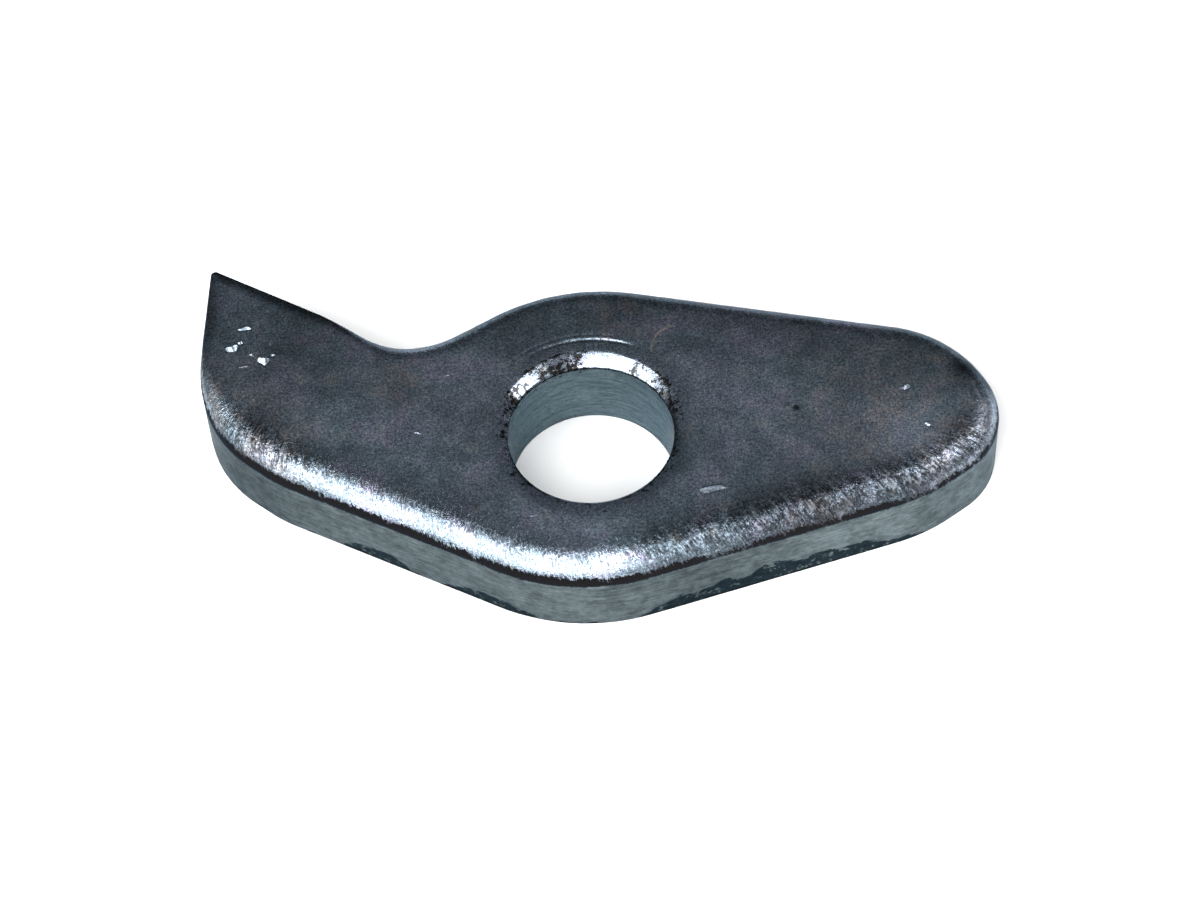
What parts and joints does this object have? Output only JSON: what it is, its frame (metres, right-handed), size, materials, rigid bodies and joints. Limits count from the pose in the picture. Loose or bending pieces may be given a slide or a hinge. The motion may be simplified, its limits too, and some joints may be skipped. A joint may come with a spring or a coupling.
{
  "type": "ratchet pawl",
  "caption": "Flat steel ratchet pawl with a pointed tooth, a hump round a pierced pivot hole and a rounded tail, its upper edge rolled over by blanking.",
  "frame": {"origin": "on the axis of the pivot hole, in the flat underside", "axes": "+Z along the hole, out of the rolled upper face; +X towards the tail; the tooth points to -X and its tip to +Y"},
  "size_m": [0.0505, 0.0248, 0.006],
  "materials": {
    "zinc_plated_steel": "blanked steel plate, thinly zinc plated and dulled blue-grey, burnished bright where the edge is rolled over"
  },
  "bodies": {
    "root": {"pawl": "zinc_plated_steel"}
  },
  "joints": []
}
